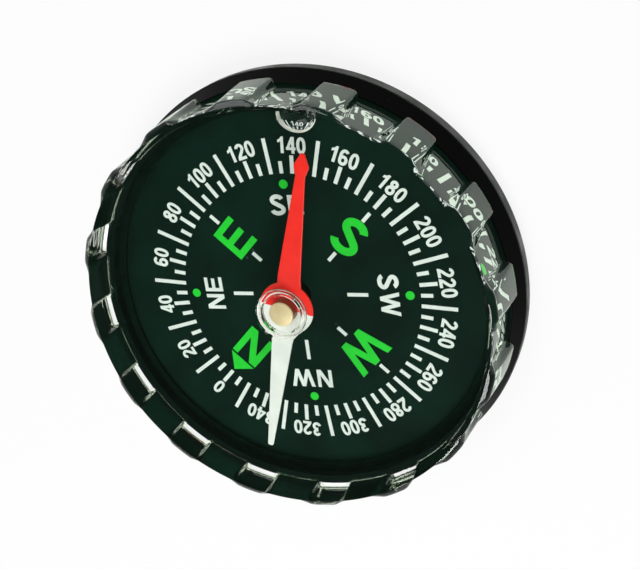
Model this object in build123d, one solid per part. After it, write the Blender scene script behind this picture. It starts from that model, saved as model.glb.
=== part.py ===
"""Liquid-filled pocket compass: black base cup, printed dial, clear lobed cover and a needle on a pivot.

Frame: origin at the centre of the base's underside, +Z up along the needle's pivot,
+Y towards the dial's N mark. Bearings are read clockwise from +Y, as on the dial. Millimetres.
"""
from build123d import *
from math import cos, radians, sin, tan
import os

# Base cup
base_radius = 22.5
base_height = 3.35
base_wall = 2.1
floor_thickness = 1.0
foot_bevel = 0.3
foot_band = 1.5
band_step = 0.1
wall_draft = 0.95
ledge_bevel = 0.15

# Pivot post on the floor
boss_radius = 1.1
boss_rise = 1.5
boss_bevel = 0.2

# Fill port in the floor, with the channel that leads the liquid under the dial to the post
port_bearing = 20.0
port_inset = 5.5
port_radius = 1.0
port_seat_radius = 1.8
port_seat_depth = 0.5
channel_width = 1.2
channel_depth = 0.35

# Fits between pieces of the case
loose_fit = 0.05
press_gap = 0.01

# Dial and the seal that holds it down
dial_thickness = 0.3
dial_post_gap = 0.15
seal_thickness = 0.6

# Clear cover
cover_height = 6.85
cover_plate = 0.9
skirt_wall = 0.85
chamber_bevel = 0.25
crown_bevel = 0.25
guard_play = 0.83
guard_wall = 0.4
guard_gap = 1.2

# Grip lobes round the cover
lobe_count = 16
lobe_bearing = -4.0
lobe_setback = 0.5
lobe_crown_depth = 0.55
valley_seat = 0.7
valley_lean = 0.1
lobe_foot_gap = 0.1
lobe_foot_span = 9.4
lobe_foot_flank = 0.6
lobe_crown_span = 7.0
lobe_crown_flank = 3.75

# Needle
needle_bearing = 149.8
needle_tip_gap = 3.2
tail_gap = 3.4
blade_thickness = 0.3
hub_radius = 2.8
arm_lift = 0.4
arm_ramp = 0.8
arm_root_width = 2.9
arm_neck_width = 0.95
head_width = 1.5
head_length = 2.2
head_shoulder = 1.3
head_tip_width = 0.5
head_tip_round = 0.22
tail_root_width = 2.7
tail_end_width = 0.6
tail_round = 0.2

# Bearing cap, jewel and pivot pin
cap_rise = 2.2
cap_gap = 0.2
cap_roof = 0.6
cap_edge = 0.15
cap_neck_wall = 0.25
cap_shoulder = 0.31
rivet_lip = 0.25
rivet_thickness = 0.25
jewel_radius = 0.7
jewel_thickness = 0.7
jewel_dimple_depth = 0.35
jewel_dimple_angle = 45.0
pivot_gap = 0.04
pin_radius = 0.35
pin_seat = 0.5
pin_point_angle = 22.0
pin_point_radius = 0.05

# Printed marks on the dial
ink = 0.05
scale_inset = 6.78
scale_step = 5
tick_width = 0.4
short_tick = 1.22
medium_tick = 1.82
long_tick = 3.62
dot_inset = 1.1
dot_radius = 0.46
arrow_inset = 0.3
arrow_height = 1.65
arrow_width = 3.05
rose_radius = 5.12
cardinal_dash = 1.2
intercardinal_dash = 2.2
outer_dash_inset = 1.9
dash_width = 0.38

# Sizes and heights that follow from the values above
bore_radius = base_radius - base_wall
chamber_radius = bore_radius - loose_fit - skirt_wall
dial_top = floor_thickness + dial_thickness
seal_top = dial_top + seal_thickness
cover_top = base_height + cover_height
chamber_top = cover_top - cover_plate
port_distance = chamber_radius - port_inset
lobe_foot_radius = base_radius - lobe_setback
valley_foot_radius = bore_radius + valley_seat
valley_crown_radius = valley_foot_radius - valley_lean
lobe_crown_radius = valley_crown_radius + lobe_crown_depth
cap_top = chamber_top - cap_gap
hub_top = cap_top - cap_rise
hub_bottom = hub_top - blade_thickness
needle_reach = chamber_radius - needle_tip_gap
tail_reach = chamber_radius - tail_gap
cap_bore_radius = jewel_radius + press_gap
cap_neck_radius = cap_bore_radius + cap_neck_wall
cap_radius = cap_neck_radius + cap_shoulder
rivet_radius = cap_neck_radius + rivet_lip
guard_bore_radius = cap_radius + guard_play
jewel_top = cap_top - cap_roof
jewel_bottom = jewel_top - jewel_thickness
pin_top = jewel_bottom + jewel_dimple_depth - pivot_gap
pin_bottom = floor_thickness - pin_seat
scale_radius = chamber_radius - scale_inset


def polar(radius, angle):
    """A point at a radius and an angle in degrees, counted from +X."""
    return (radius * cos(radians(angle)), radius * sin(radians(angle)))


def at_bearing(shape, bearing):
    """Turn a shape drawn along +X so that it points to a dial bearing."""
    return Rot(0, 0, 90 - bearing) * shape


def ring(inner, outer, bottom, top):
    """A plain tube between two heights."""
    return Pos(0, 0, bottom) * extrude(Circle(outer) - Circle(inner), top - bottom)


def disc(radius, bottom, top):
    """A plain cylinder between two heights."""
    return Pos(0, 0, bottom) * extrude(Circle(radius), top - bottom)


def turned(*points):
    """Revolve a closed (radius, height) outline about the pivot axis."""
    return revolve(make_face(Plane.XZ * Polyline(*points, close=True)), Axis.Z)


def base_cup():
    """Moulded cup: floor, tapered wall over a foot band, ledge for the cover, pivot post and fill port."""
    wall_radius = base_radius - band_step
    rim_radius = wall_radius - wall_draft
    cup = turned(
        (0, 0), (base_radius - foot_bevel, 0), (base_radius, foot_bevel), (base_radius, foot_band),
        (wall_radius, foot_band + band_step), (rim_radius, base_height - ledge_bevel),
        (rim_radius - ledge_bevel, base_height), (bore_radius, base_height),
        (bore_radius, floor_thickness), (0, floor_thickness))

    post = disc(boss_radius, floor_thickness / 2, floor_thickness + boss_rise)
    cup += chamfer(post.edges().sort_by(Axis.Z)[-1], boss_bevel)
    cup -= disc(pin_radius + press_gap, pin_bottom, floor_thickness + 2 * boss_rise)

    port = disc(port_radius, 0, floor_thickness) + disc(port_seat_radius, 0, port_seat_depth)
    cup -= at_bearing(Pos(port_distance, 0, 0) * port, port_bearing)
    channel_length = port_distance - boss_radius
    channel = Pos(boss_radius + channel_length / 2, 0, floor_thickness) * Box(
        channel_length, channel_width, 2 * channel_depth)
    return cup - at_bearing(channel, port_bearing)


def fill_plug():
    """Stepped plug that closes the fill port, flush with the underside and the channel's bed."""
    plug = disc(port_seat_radius - press_gap, 0, port_seat_depth)
    plug += disc(port_radius - press_gap, 0, floor_thickness - channel_depth)
    return at_bearing(Pos(port_distance, 0, 0) * plug, port_bearing)


def dial_plate():
    """Thin dial disc that lies on the floor round the pivot post."""
    return ring(boss_radius + dial_post_gap, bore_radius - loose_fit, floor_thickness, dial_top)


def cover_seal():
    """Flat rubber ring between the dial's edge and the cover's skirt."""
    return ring(chamber_radius, bore_radius - loose_fit, dial_top, seal_top)


def bevelled_frustum(foot, foot_radius, crown_radius):
    """Turned cone up to the cover's top, with a bevelled crown."""
    return turned((0, foot), (foot_radius, foot), (crown_radius, cover_top - crown_bevel),
                  (crown_radius - crown_bevel, cover_top), (0, cover_top))


def cut_beyond(shape, side, first, second, third):
    """Cut off what lies outside a plane through three points on one side (-1 or 1) of a lobe along +X."""
    first, second, third = (Vector(*point) for point in (first, second, third))
    normal = (second - first).cross(third - first)
    outward = normal * (side if normal.Y > 0 else -side)
    return split(shape, bisect_by=Plane(first, x_dir=second - first, z_dir=outward), keep=Keep.BOTTOM)


def grip_lobe():
    """One flared grip lobe along +X: steep flanks at its foot, corners cut away towards its crown."""
    foot = base_height + lobe_foot_gap
    lobe = bevelled_frustum(foot, lobe_foot_radius, lobe_crown_radius)
    lobe &= Pos(base_radius, 0, cover_top) * Box(2 * cover_height, base_radius, 2 * cover_top)
    for side in (-1, 1):
        foot_crest = (*polar(lobe_foot_radius, side * lobe_foot_span / 2), foot)
        foot_root = (*polar(valley_foot_radius, side * (lobe_foot_span / 2 + lobe_foot_flank)), foot)
        crown_crest = (*polar(lobe_crown_radius, side * lobe_crown_span / 2), cover_top)
        crown_root = (*polar(valley_crown_radius, side * (lobe_crown_span / 2 + lobe_crown_flank)), cover_top)
        lobe = cut_beyond(lobe, side, foot_crest, foot_root, crown_root)
        lobe = cut_beyond(lobe, side, foot_crest, crown_crest, crown_root)
    return lobe


def clear_cover():
    """Clear moulded cover: flared grip lobes outside, a round chamber and a needle guard inside."""
    lobe = grip_lobe()
    shell = bevelled_frustum(base_height, valley_foot_radius, valley_crown_radius)
    shell += [at_bearing(lobe, lobe_bearing + index * 360 / lobe_count) for index in range(lobe_count)]
    shell += disc(bore_radius - loose_fit, seal_top, base_height + lobe_foot_gap)

    chamber = disc(chamber_radius, seal_top, chamber_top)
    shell -= chamfer(chamber.edges().sort_by(Axis.Z)[-1], chamber_bevel)
    guard = ring(guard_bore_radius, guard_bore_radius + guard_wall, hub_top + guard_gap, chamber_top)
    return shell + guard


def blade_outline():
    """Plan of the needle along +X: pointer with a small spade head, round hub, tapered tail."""
    neck = needle_reach - head_length
    widest = needle_reach - head_shoulder
    pointer = make_face(Polyline(
        (0, -arm_root_width / 2), (neck, -arm_neck_width / 2), (widest, -head_width / 2),
        (needle_reach, -head_tip_width / 2), (needle_reach, head_tip_width / 2), (widest, head_width / 2),
        (neck, arm_neck_width / 2), (0, arm_root_width / 2), close=True))
    pointer = fillet(pointer.vertices().group_by(Axis.X)[-1], head_tip_round)
    tail = make_face(Polyline(
        (0, -tail_root_width / 2), (-tail_reach, -tail_end_width / 2),
        (-tail_reach, tail_end_width / 2), (0, tail_root_width / 2), close=True))
    tail = fillet(tail.vertices().group_by(Axis.X)[0], tail_round)
    return pointer + tail + Circle(hub_radius)


def needle_blade():
    """Stamped steel needle: one strip whose arms step up from the hub disc over a short ramp."""
    flat = hub_radius + arm_ramp
    under = ((-tail_reach, arm_lift), (-flat, arm_lift), (-hub_radius, 0),
             (hub_radius, 0), (flat, arm_lift), (needle_reach, arm_lift))
    over = tuple((x, z + blade_thickness) for x, z in reversed(under))
    strip = extrude(make_face(Plane.XZ * Polyline(*under, *over, close=True)), hub_radius, both=True)
    plan = extrude(blade_outline() - Circle(cap_neck_radius + press_gap), arm_lift + blade_thickness)
    return at_bearing(Pos(0, 0, hub_bottom) * (strip & plan), needle_bearing)


def bearing_cap():
    """Turned brass cap, riveted through the hub, bored from below for the jewel and the pin."""
    rivet_bottom = hub_bottom - rivet_thickness
    return turned(
        (cap_bore_radius, rivet_bottom), (rivet_radius, rivet_bottom), (rivet_radius, hub_bottom),
        (cap_neck_radius, hub_bottom), (cap_neck_radius, hub_top), (cap_radius, hub_top),
        (cap_radius, cap_top - cap_edge), (cap_radius - cap_edge, cap_top), (0, cap_top),
        (0, jewel_top), (cap_bore_radius, jewel_top))


def pivot_jewel():
    """Hard cup pressed into the cap; its conical dimple rides on the pin's point."""
    mouth = jewel_dimple_depth * tan(radians(jewel_dimple_angle))
    return turned((mouth, jewel_bottom), (jewel_radius, jewel_bottom), (jewel_radius, jewel_top),
                  (0, jewel_top), (0, jewel_bottom + jewel_dimple_depth))


def pivot_pin():
    """Steel pin pressed into the post, ground to a point at its top."""
    taper = (pin_radius - pin_point_radius) / tan(radians(pin_point_angle))
    return turned((0, pin_bottom), (pin_radius, pin_bottom), (pin_radius, pin_top - taper),
                  (pin_point_radius, pin_top), (0, pin_top))


def dash(bearing, inner, length, width):
    """A printed bar on the dial, from an inner radius outwards."""
    bar = Pos(inner + length / 2, 0, dial_top + ink / 2) * Box(length, width, ink)
    return at_bearing(bar, bearing)


def scale_marks():
    """White print: the degree ticks and the dashes of the compass rose."""
    marks = []
    for bearing in range(0, 360, scale_step):
        length = short_tick
        if bearing % 20 == 0:
            length = medium_tick
        elif bearing % 10 == 0:
            length = long_tick
        marks.append(dash(bearing, scale_radius, length, tick_width))
    for bearing in (90, 180, 270):
        marks.append(dash(bearing, scale_radius - outer_dash_inset, cardinal_dash, dash_width))
    for bearing in (0, 90, 180, 270):
        marks.append(dash(bearing, rose_radius, cardinal_dash, dash_width))
    for bearing in (45, 135, 225, 315):
        marks.append(dash(bearing, rose_radius, intercardinal_dash, dash_width))
    return Compound(marks)


def luminous_marks():
    """Green glowing print: a dot at each intercardinal point and the arrowhead over N."""
    dots = []
    for bearing in (45, 135, 225, 315):
        dot = Pos(scale_radius - dot_inset, 0, 0) * disc(dot_radius, dial_top, dial_top + ink)
        dots.append(at_bearing(dot, bearing))
    apex = scale_radius - arrow_inset
    foot = apex - arrow_height
    arrow = make_face(Polyline((foot, -arrow_width / 2), (apex, 0), (foot, arrow_width / 2), close=True))
    dots.append(at_bearing(Pos(0, 0, dial_top) * extrude(arrow, ink), 0))
    return Compound(dots)


pieces = (base_cup, fill_plug, dial_plate, cover_seal, clear_cover, pivot_pin,
          needle_blade, bearing_cap, pivot_jewel, scale_marks, luminous_marks)

os.makedirs("parts", exist_ok=True)
for piece in pieces:
    export_step(piece(), f"parts/{piece.__name__}.step")
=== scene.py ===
"""Dress a liquid-filled pocket compass: black case, printed dial, clear grip cover and a painted needle.

Bearings run clockwise from +Y, the dial's N mark. Lengths are metres; +Z runs up the needle's pivot.
"""

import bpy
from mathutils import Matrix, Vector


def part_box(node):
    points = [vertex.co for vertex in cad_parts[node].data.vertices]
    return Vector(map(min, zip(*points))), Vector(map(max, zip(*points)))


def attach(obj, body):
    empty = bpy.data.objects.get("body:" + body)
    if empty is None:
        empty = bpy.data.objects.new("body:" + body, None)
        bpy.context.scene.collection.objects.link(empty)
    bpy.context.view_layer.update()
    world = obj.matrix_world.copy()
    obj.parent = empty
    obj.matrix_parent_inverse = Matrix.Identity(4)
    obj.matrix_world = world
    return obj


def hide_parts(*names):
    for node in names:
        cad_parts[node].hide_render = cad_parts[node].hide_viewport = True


bl_info = {
    "name": "Pocket Compass",
    "version": (1, 0, 0),
    "blender": (4, 5, 0),
    "location": "View3D > Sidebar > Compass",
    "description": "Models and finishes the pieces of a liquid-filled pocket compass",
    "category": "Object",
}

from math import atan2, cos, hypot, pi, radians, sin, sqrt, tau

import bmesh
import bpy
from bpy.props import FloatProperty, FloatVectorProperty, IntProperty, PointerProperty
from bpy.types import Operator, Panel, PropertyGroup
from mathutils import Matrix, Vector

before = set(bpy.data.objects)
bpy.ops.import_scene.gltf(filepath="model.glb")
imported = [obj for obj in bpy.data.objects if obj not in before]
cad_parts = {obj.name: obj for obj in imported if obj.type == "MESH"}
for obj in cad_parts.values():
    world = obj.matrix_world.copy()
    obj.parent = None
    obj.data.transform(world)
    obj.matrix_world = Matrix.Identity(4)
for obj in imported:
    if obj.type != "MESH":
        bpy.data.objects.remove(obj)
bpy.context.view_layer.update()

MM = 0.001
FINE = 0.001 * MM
SKIN = 50 * FINE
CASE = "case"
NEEDLE = "needle"

# Steps and sides of round shapes, and the angle past which an edge is bevelled
CASE_STEPS = 192
CAP_STEPS = 64
HUB_STEPS = 18
BUBBLE_STEPS = 48
BUBBLE_ROWS = 20
HOLE_SIDES = 48
CHAMBER_SIDES = 256
BEVEL_ANGLE = radians(50.0)

# Small roundings of the case's post and band, and of the bearing cap's lower edge
POST_ROUND = 0.2 * MM
BAND_SOFT = 0.6
CAP_CHAMFER = 0.08 * MM

# Grip lobes keep the plan of their feet until late in the rise. The slope from the flat top down to their
# crowns goes through shares of the way out and of the drop. The bends at a lobe's corners are shares of its
# sides, up to a length at the foot and at the crown.
FLARE = 2.6
CROWN_SLOPE = ((0.0, 1.0), (0.4, 0.72), (0.78, 0.44), (0.91, 0.27), (0.98, 0.12), (1.0, 0.0))
FOOT_BEND = 0.32 * MM
CROWN_BEND = 0.7 * MM
LOBE_FLAT = 0.72
BEND_ON_LOBE = 0.26
BEND_ON_FLANK = 0.45
VALLEY_BEND = 0.8
FLANK_FOLLOWS = 0.8
DISC_MARGIN = 0.1 * MM

# Needle: soft places of the head, where the arms leave the hub disc, and play round the cap's neck
HEAD_SOFT = 0.12 * MM
NECK_SOFT = 0.1 * MM
ROOT_AT_HUB = 0.43
HUB_FOLD = 0.97
NECK_PLAY = 0.02 * MM

# Bubble: fullness of its side, rounding where the wall cuts it, and the slopes that carry its painted
# highlight, a pale ring round its rim
BUBBLE_FULLNESS = 0.8
BUBBLE_ROUND = 0.1 * MM
HIGHLIGHT_SLOPES = (-0.3, 0.85)

# Width of the S's stroke against the other glyphs'
HEAVY = 1.2

# Refraction: acrylic in air. Liquid fills the chamber, so its ceiling has the ratio of acrylic to liquid, its
# walls and the sealed joints are nearly matched, and the bubble is air seen from the liquid.
ACRYLIC = 1.49
CEILING = 1.064
SEALED = 1.012
GUARD = 1.25
AIR_IN_LIQUID = 0.714
WAVY = 0.02
BUBBLE_WAVY = 0.03

# Painted highlights: a pale matt cover that stands in for light caught at the guard's lower edge and round
# the bubble's rim. Its colour, and the least and most that it covers
PAINTED_HIGHLIGHT = (0.92, 0.95, 0.84, 1.0)
GUARD_HIGHLIGHT_COVER = (0.25, 0.85)
RIM_HIGHLIGHT_COVER = (0.65, 0.95)
DIAL_DUST = (0.035, 0.055, 0.045, 1.0)

# Stage: the camera's axes and place, the lamps' sides and places, and the studio's light at two heights
CAMERA_RIGHT = Vector((-0.751702, -0.562447, -0.344381))
CAMERA_UP = Vector((0.659503, -0.640356, -0.393701))
CAMERA_PLACE = Vector((-0.000812, -0.060853, 0.099633))
FRAME_WIDTH = 36.0
NEAREST = 0.005
KEY_SIDE, KEY_PLACE = 0.16, Vector((-0.16, 0.10, 0.24))
FILL_SIDE, FILL_PLACE = 0.20, Vector((0.22, -0.06, 0.20))
STUDIO_LIGHT = ((0.05, (1.0, 1.0, 1.0, 1.0)), (0.62, (0.055, 0.077, 0.061, 1.0)))
FLOOR_GAP = 0.03 * MM
FLOOR_GLOW = 0.85

case_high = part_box("base_cup")[1]
cover_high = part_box("clear_cover")[1]
dial_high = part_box("dial_plate")[1]
seal_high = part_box("cover_seal")[1]
cap_low, cap_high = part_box("bearing_cap")
blade_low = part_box("needle_blade")[0]


def length(name, default, description):
    """A size in metres."""
    return FloatProperty(name=name, description=description, default=default,
                         subtype="DISTANCE", unit="LENGTH")


def turn(name, default, description):
    """An angle, given in degrees."""
    return FloatProperty(name=name, description=description, default=radians(default), subtype="ANGLE")


def ratio(name, default, description):
    """A share of another size."""
    return FloatProperty(name=name, description=description, default=default)


def power(name, default, description):
    """A lamp's power."""
    return FloatProperty(name=name, description=description, default=default, unit="POWER")


def colour(name, default, description):
    """A finish's colour, in linear light."""
    return FloatVectorProperty(name=name, description=description, default=default, size=3,
                               min=0.0, max=1.0, subtype="COLOR")


class CaseSizes(PropertyGroup):
    """Sizes of the black case."""
    radius: length("Radius", case_high.x, "Outer radius over the foot band")
    height: length("Height", case_high.z, "Height of the ledge that carries the cover")
    wall: length("Wall", 2.1 * MM, "Thickness of the wall at the ledge")
    floor: length("Floor", 1.0 * MM, "Thickness of the floor under the dial")
    foot_round: length("Foot rounding", 0.3 * MM, "Rounding under the foot band")
    band_height: length("Foot band", 1.5 * MM, "Height of the satin band round the foot")
    band_step: length("Band step", 0.1 * MM, "How far the wall stands back above the band")
    wall_draft: length("Wall draft", 0.95 * MM, "How far the wall leans in up to the ledge")
    ledge_round: length("Ledge rounding", 0.15 * MM, "Rounding at the ledge's outer edge")
    post_radius: length("Post radius", 1.1 * MM, "Radius of the pivot post on the floor")
    post_height: length("Post height", 2.5 * MM, "Top of the pivot post")
    pin_radius: length("Pin bore", 0.36 * MM, "Radius of the bore for the pivot pin")
    port_bearing: turn("Port bearing", 20.0, "Bearing of the fill port")
    port_distance: length("Port distance", 14.0 * MM, "Distance of the fill port from the pivot")
    port_radius: length("Port radius", 1.0 * MM, "Radius of the fill port")
    seat_radius: length("Plug seat radius", 1.8 * MM, "Radius of the plug's seat in the underside")
    seat_depth: length("Plug seat depth", 0.5 * MM, "Depth of the plug's seat")


class CoverSizes(PropertyGroup):
    """Sizes of the clear cover."""
    lobes: IntProperty(name="Lobes", description="Number of grip lobes", default=16, min=3)
    lobe_bearing: turn("Lobe bearing", -4.0, "Bearing of the first lobe")
    top: length("Top", cover_high.z, "Height of the cover's flat top")
    lobe_foot: length("Lobe foot", case_high.z + 0.1 * MM, "Height of the lobes' feet over the case's ledge")
    foot_radius: length("Lobe foot radius", 22.0 * MM, "Radius over the lobes at their feet")
    foot_valley: length("Valley foot radius", 21.1 * MM, "Radius in the valleys at the feet")
    crown_radius: length("Lobe crown radius", 21.55 * MM, "Radius over the lobes at the crown")
    crown_valley: length("Valley crown radius", 21.0 * MM, "Radius in the valleys at the crown")
    foot_span: turn("Lobe foot span", 9.4, "Angle over a lobe's flat at its foot")
    foot_flank: turn("Lobe foot flank", 0.6, "Angle of a lobe's flank at its foot")
    crown_span: turn("Lobe crown span", 7.0, "Angle over a lobe's flat at the crown")
    crown_flank: turn("Lobe crown flank", 3.75, "Angle of a lobe's flank at the crown")
    disc_radius: length("Disc radius", 20.88 * MM, "Radius of the flat top, where the lobes' slopes begin")
    crown_round: length("Crown drop", 0.42 * MM, "Drop from the flat top to the lobes' crowns")
    foot_corner: length("Foot corner", 0.55 * MM, "Rounding of a lobe's lower corners")
    foot_edge: length("Foot edge", 0.3 * MM, "Small rounding under a lobe's foot")
    seat_radius: length("Seat radius", 20.85 * MM, "Outer radius of the seat on the ledge")
    sealed_radius: length("Sealed radius", 21.35 * MM, "How far out sealant fills the gap over the ledge")
    skirt_radius: length("Skirt radius", 20.35 * MM, "Outer radius of the skirt in the case")
    chamber_radius: length("Chamber radius", 19.5 * MM, "Radius of the liquid's chamber")
    upper_radius: length("Upper chamber radius", 20.4 * MM, "Radius of the chamber above the case's ledge")
    chamber_top: length("Chamber top", cover_high.z - 0.9 * MM, "Height of the chamber's ceiling")
    chamber_round: length("Chamber rounding", 0.15 * MM, "Rounding under the ceiling's edge")
    guard_outer: length("Guard radius", 2.5 * MM, "Outer radius of the needle guard")
    guard_inner: length("Guard bore", 2.1 * MM, "Inner radius of the needle guard")
    guard_bottom: length("Guard bottom", blade_low.z + 1.5 * MM, "Height of the needle guard's lower edge")
    seat_lift: length("Seat lift", 0.02 * MM, "Film of sealant under the seat and the skirt")


class NeedleSizes(PropertyGroup):
    """Sizes of the needle and its bearing cap."""
    bearing: turn("Bearing", 149.8, "Bearing that the red tip rests at")
    reach: length("Reach", 16.3 * MM, "Length of the red arm from the pivot")
    tail: length("Tail", 16.1 * MM, "Length of the white arm from the pivot")
    hub_radius: length("Hub radius", 2.8 * MM, "Radius of the hub disc")
    hub_bottom: length("Hub bottom", blade_low.z, "Height of the hub's underside")
    thickness: length("Thickness", 0.3 * MM, "Thickness of the blade")
    arm_lift: length("Arm lift", 0.4 * MM, "How far the arms step up from the hub")
    arm_ramp: length("Arm ramp", 0.8 * MM, "Length of the step's ramp")
    arm_root: length("Red arm root", 2.9 * MM, "Width of the red arm, drawn on to the pivot")
    arm_neck: length("Red arm neck", 0.95 * MM, "Width of the red arm behind its head")
    head_width: length("Head width", 1.5 * MM, "Width of the red arm's head")
    head_length: length("Head length", 2.2 * MM, "Length of the red arm's head")
    head_shoulder: length("Head shoulder", 1.3 * MM, "From the head's widest place to its tip")
    tip_width: length("Tip width", 0.5 * MM, "Width of the red arm's tip")
    tail_root: length("White arm root", 2.7 * MM, "Width of the white arm, drawn on to the pivot")
    tail_end: length("White arm end", 0.6 * MM, "Width of the white arm's end")
    edge_round: length("Edge rounding", 0.05 * MM, "Rounding of the painted edges")
    cap_radius: length("Cap radius", cap_high.x, "Radius of the bearing cap's head")
    cap_neck: length("Cap neck", 0.96 * MM, "Radius of the cap's neck through the hub")
    cap_bore: length("Cap bore", 0.71 * MM, "Radius of the cap's bore")
    cap_round: length("Cap rounding", 0.18 * MM, "Rounding of the cap's top edge")
    cap_roof: length("Cap roof", 0.6 * MM, "Thickness of the cap over the jewel")
    rivet_radius: length("Rivet radius", 1.21 * MM, "Radius of the rivet under the hub")


class PrintSizes(PropertyGroup):
    """Sizes of the printed numerals and letters."""
    ink: length("Ink", 0.05 * MM, "Thickness of the print")
    numeral_radius: length("Numeral radius", 15.55 * MM, "Distance of the numerals' middle from the pivot")
    numeral_height: length("Numeral height", 1.65 * MM, "Height of the degree numerals")
    numeral_step: IntProperty(name="Numeral step", default=20,
                              description="Degrees from one numeral to the next")
    cardinal_radius: length("Cardinal radius", 8.65 * MM, "Distance of the cardinal letters' middle")
    cardinal_height: length("Cardinal height", 3.8 * MM, "Height of the cardinal letters")
    between_radius: length("Intercardinal radius", 9.5 * MM, "Distance of the letter pairs' middle")
    between_height: length("Intercardinal height", 2.0 * MM, "Height of the letter pairs")
    pen: ratio("Pen", 0.185, "Width of the strokes, as a share of the glyph's height")
    numeral_advance: ratio("Numeral advance", 0.64, "From numeral to numeral, as a share of their height")
    letter_gap: ratio("Letter gap", 0.16, "Gap between the letters of a pair, as a share of their height")


class BubbleSizes(PropertyGroup):
    """Size and place of the air bubble left in the liquid."""
    bearing: turn("Bearing", 148.0, "Bearing of the bubble")
    distance: length("Distance", 20.2 * MM, "Distance of the bubble's middle from the pivot")
    half_length: length("Half length", 1.9 * MM, "Half the bubble's length along the chamber's wall")
    half_width: length("Half width", 1.6 * MM, "How far the bubble reaches in from its middle")
    depth: length("Depth", 1.3 * MM, "How far the bubble hangs under the ceiling")
    crown: length("Crown", 0.25 * MM, "Height of the bubble's flattened upper side")
    film: length("Film", 0.04 * MM, "Film of liquid over the bubble")


class FinishColours(PropertyGroup):
    """Colours of the finishes."""
    case_black: colour("Case black", (0.0012, 0.0017, 0.0013), "Gloss black of the case")
    # The foot band's satin gloss is real. Its colour is lighter than the case's black and paints in part of
    # the floor's reflection on the band
    foot_grey: colour("Foot band", (0.009, 0.012, 0.008), "Satin black of the foot band")
    dial_black: colour("Dial black", (0.0014, 0.0125, 0.0075), "Green-black of the dial")
    print_white: colour("White print", (0.80, 0.90, 0.82), "White ink of the scale and numerals")
    print_green: colour("Green print", (0.012, 0.66, 0.03), "Green glowing ink of the letters")
    needle_red: colour("Needle red", (0.93, 0.019, 0.010), "Red paint of the pointing arm")
    needle_white: colour("Needle white", (0.85, 0.91, 0.82), "White paint of the tail")
    grip_tint: colour("Grip tint", (0.91, 0.96, 0.885), "Faint green of the clear cover's thick grip wall")
    cap_brass: colour("Cap brass", (0.70, 0.58, 0.31), "Pale brass on the bearing cap's top")
    # Painted shade: the cap's side takes a darker brown than its pale top, though both are the same brass
    cap_bronze: colour("Cap bronze", (0.20, 0.085, 0.04), "Tarnished brass on the bearing cap's side")
    pin_steel: colour("Pin steel", (0.55, 0.56, 0.57), "Steel of the pivot pin")
    seal_black: colour("Seal black", (0.0010, 0.0068, 0.0042), "Rubber of the seal")
    chamber_black: colour("Chamber black", (0.0009, 0.0056, 0.0034), "Wet black inside the case")


class StageSettings(PropertyGroup):
    """Camera, floor and light."""
    lens: FloatProperty(name="Lens", description="Focal length on a 36 mm wide frame, in millimetres",
                        default=62.84, subtype="DISTANCE_CAMERA")
    floor_size: length("Floor", 3.0, "Side of the floor")
    floor_white: colour("Floor", (0.90, 0.90, 0.90), "Pale floor")
    key_power: power("Key power", 0.75, "Power of the key lamp")
    fill_power: power("Fill power", 0.35, "Power of the fill lamp")


def deselect():
    """Leave nothing selected, in object mode."""
    if bpy.context.object is not None and bpy.context.object.mode != "OBJECT":
        bpy.ops.object.mode_set(mode="OBJECT")
    bpy.ops.object.select_all(action="DESELECT")


def pick(*pieces):
    """Select pieces in object mode; the last one is active."""
    deselect()
    for piece in pieces:
        piece.select_set(True)
        bpy.context.view_layer.objects.active = piece


def edit(piece):
    """Go into edit mode on one piece, with nothing selected in it."""
    pick(piece)
    bpy.ops.object.mode_set(mode="EDIT")
    bpy.ops.mesh.select_all(action="DESELECT")
    return bmesh.from_edit_mesh(piece.data)


def named(piece, name):
    """Name a piece and its mesh alike."""
    piece.name = name
    piece.data.name = name
    return piece


def select_faces(piece, wanted):
    """Select the faces whose middle passes a test, in edit mode."""
    mesh = bmesh.from_edit_mesh(piece.data)
    bpy.ops.mesh.select_mode(type="FACE")
    for face in mesh.faces:
        face.select_set(bool(wanted(face)))
    mesh.select_flush_mode()
    bmesh.update_edit_mesh(piece.data)


def draw_path(name, points, closed=False):
    """New piece in edit mode with a line drawn through points, one extruded from the next."""
    deselect()
    bpy.ops.mesh.primitive_plane_add(size=MM)
    piece = named(bpy.context.object, name)
    bpy.ops.object.mode_set(mode="EDIT")
    bpy.ops.mesh.select_mode(type="VERT")
    bpy.ops.mesh.select_all(action="SELECT")
    bpy.ops.mesh.merge(type="CENTER")
    here = Vector(points[0])
    bpy.ops.transform.translate(value=here)
    for point in points[1:]:
        step = Vector(point) - here
        bpy.ops.mesh.extrude_vertices_move(TRANSFORM_OT_translate={"value": step})
        here = Vector(point)
    bpy.ops.mesh.select_all(action="SELECT")
    if closed:
        mesh = bmesh.from_edit_mesh(piece.data)
        ends = [vertex for vertex in mesh.verts if len(vertex.link_edges) == 1]
        bpy.ops.mesh.select_all(action="DESELECT")
        bpy.ops.mesh.select_mode(type="VERT")
        for vertex in ends:
            vertex.select_set(True)
        bpy.ops.mesh.edge_face_add()
        bpy.ops.mesh.select_all(action="SELECT")
    return piece


def close_mesh():
    """Merge doubled points and turn all faces outwards, in edit mode."""
    bpy.ops.mesh.select_all(action="SELECT")
    bpy.ops.mesh.remove_doubles(threshold=FINE)
    bpy.ops.mesh.normals_make_consistent(inside=False)
    bpy.ops.mesh.select_all(action="DESELECT")


def lathe(name, profile, steps):
    """Turn a (radius, height) profile about the pivot axis."""
    piece = draw_path(name, [(radius, 0.0, height) for radius, height in profile])
    bpy.ops.mesh.spin(steps=steps, angle=tau, center=(0, 0, 0), axis=(0, 0, 1))
    close_mesh()
    bpy.ops.object.mode_set(mode="OBJECT")
    return piece


def apply_modifier(piece, kind, **settings):
    """Add a modifier to a piece and apply it."""
    pick(piece)
    modifier = piece.modifiers.new(kind.title(), kind)
    for setting, value in settings.items():
        setattr(modifier, setting, value)
    bpy.ops.object.modifier_apply(modifier=modifier.name)
    return piece


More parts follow.
